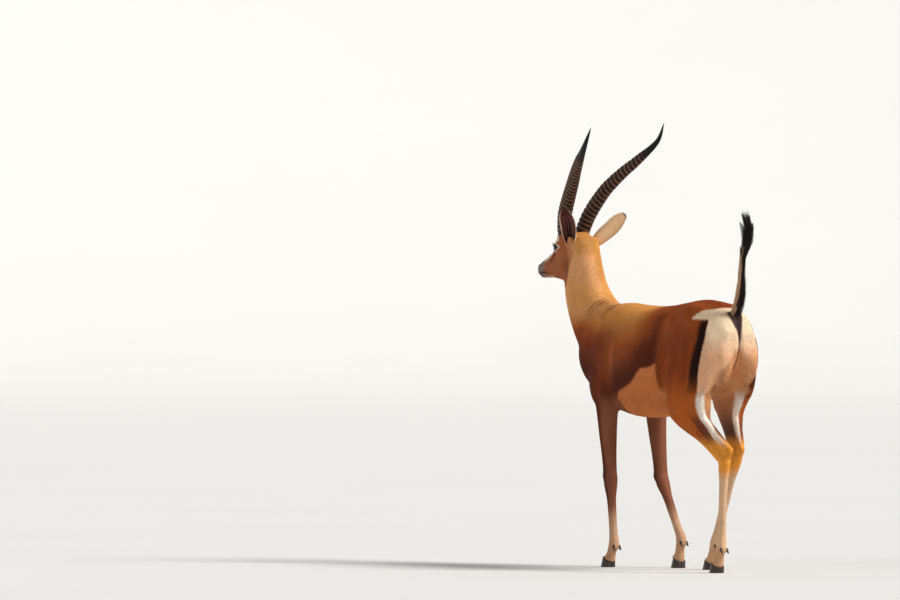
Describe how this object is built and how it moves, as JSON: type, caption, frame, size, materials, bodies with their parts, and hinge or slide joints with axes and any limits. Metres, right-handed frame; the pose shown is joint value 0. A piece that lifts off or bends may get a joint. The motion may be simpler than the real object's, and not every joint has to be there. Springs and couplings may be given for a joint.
{
  "type": "grant's gazelle",
  "caption": "Life-size male Grant's gazelle, a plains antelope, still in a walking pose: long ringed horns, head turned to its left, tail raised, standing on its own hooves.",
  "frame": {"origin": "middle of the model's box seen from above, on the ground under the hooves", "axes": "-Z is down through the hooves; the animal walks and faces along -Y; its left side is +X"},
  "size_m": [0.367, 1.2706, 1.4786],
  "materials": {
    "body_coat": "short sleek rufous hair with white rump and belly",
    "face_coat": "short hair, chestnut with white and black face stripes",
    "leg_coat": "very short tan hair",
    "ear_hair": "fine tan hair with a dark rim",
    "tail_hair": "coarse black hair",
    "horn_keratin": "dark ringed horn, semi-matt",
    "hoof_horn": "dark hoof horn, dusty",
    "eye_surface": "wet, glossy"
  },
  "bodies": {
    "root": {"ear_left": "ear_hair", "ear_right": "ear_hair", "eye_left": "eye_surface", "eye_right": "eye_surface", "foreleg_left_lower": "leg_coat", "foreleg_left_upper": "body_coat", "foreleg_right_lower": "leg_coat", "foreleg_right_upper": "body_coat", "head": "face_coat", "hindleg_left_lower": "leg_coat", "hindleg_left_upper": "body_coat", "hindleg_right_lower": "leg_coat", "hindleg_right_upper": "body_coat", "hoof_fore_left_inner": "hoof_horn", "hoof_fore_left_outer": "hoof_horn", "hoof_fore_right_inner": "hoof_horn", "hoof_fore_right_outer": "hoof_horn", "hoof_hind_left_inner": "hoof_horn", "hoof_hind_left_outer": "hoof_horn", "hoof_hind_right_inner": "hoof_horn", "hoof_hind_right_outer": "hoof_horn", "horn_left": "horn_keratin", "horn_right": "horn_keratin", "neck": "body_coat", "tail": "tail_hair", "torso": "body_coat"}
  },
  "joints": []
}
